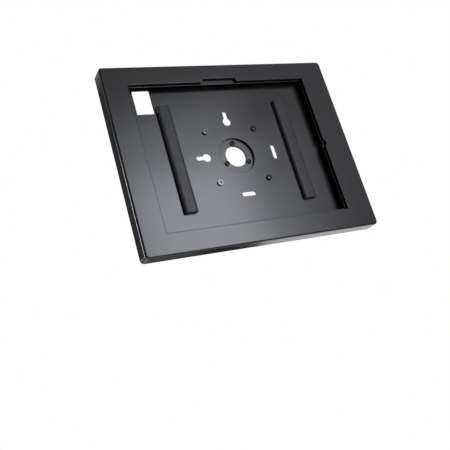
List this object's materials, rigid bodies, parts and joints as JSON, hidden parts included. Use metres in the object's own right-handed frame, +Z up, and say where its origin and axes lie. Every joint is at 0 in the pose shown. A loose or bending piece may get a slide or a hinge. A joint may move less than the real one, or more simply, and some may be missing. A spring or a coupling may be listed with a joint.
{
  "type": "tablet security enclosure",
  "caption": "Lockable sheet steel tablet enclosure: a folded cover with a screen window hinged on tabs over a recessed mounting plate with foam pads, hub and cam lock.",
  "frame": {"origin": "centre of the 75 mm screw square on the rear face of the mounting plate", "axes": "+X right as seen from the front, +Z up, +Y from the window to the back"},
  "size_m": [0.346, 0.021, 0.2626],
  "materials": {
    "satin_black_paint": "satin black powder coat",
    "zinc_plated_steel": "zinc plated",
    "black_screw_steel": "black oxide",
    "plated_lock_metal": "nickel plated, satin",
    "black_foam": "matte closed-cell foam"
  },
  "bodies": {
    "root": {"back_plate": "satin_black_paint", "clinch_nuts": "zinc_plated_steel", "hub_ring": "satin_black_paint", "hub_screws": "black_screw_steel", "foam_pad_left": "black_foam", "foam_pad_right": "black_foam", "lock_housing": "plated_lock_metal", "lock_nut": "plated_lock_metal"},
    "cover": {"front_cover": "satin_black_paint", "inner_bezel": "satin_black_paint", "bezel_studs": "zinc_plated_steel", "bezel_nuts": "zinc_plated_steel", "foam_strip_left": "black_foam", "foam_strip_right": "black_foam", "foam_strip_top": "black_foam", "foam_strip_bottom": "black_foam", "lock_catch": "satin_black_paint"},
    "lock": {"lock_plug": "plated_lock_metal", "lock_cam": "zinc_plated_steel", "cam_screw": "zinc_plated_steel"}
  },
  "joints": [
    {"name": "cover_hinge", "type": "hinge", "parent": "root", "child": "cover", "pos_m": [-0.169, -0.00075, 0.003], "axis": [0, 0, -1], "range_deg": [0, 35]},
    {"name": "lock_turn", "type": "hinge", "parent": "root", "child": "lock", "pos_m": [0.1575, 0, 0], "axis": [0, 1, 0], "range_deg": [0, 90]}
  ]
}
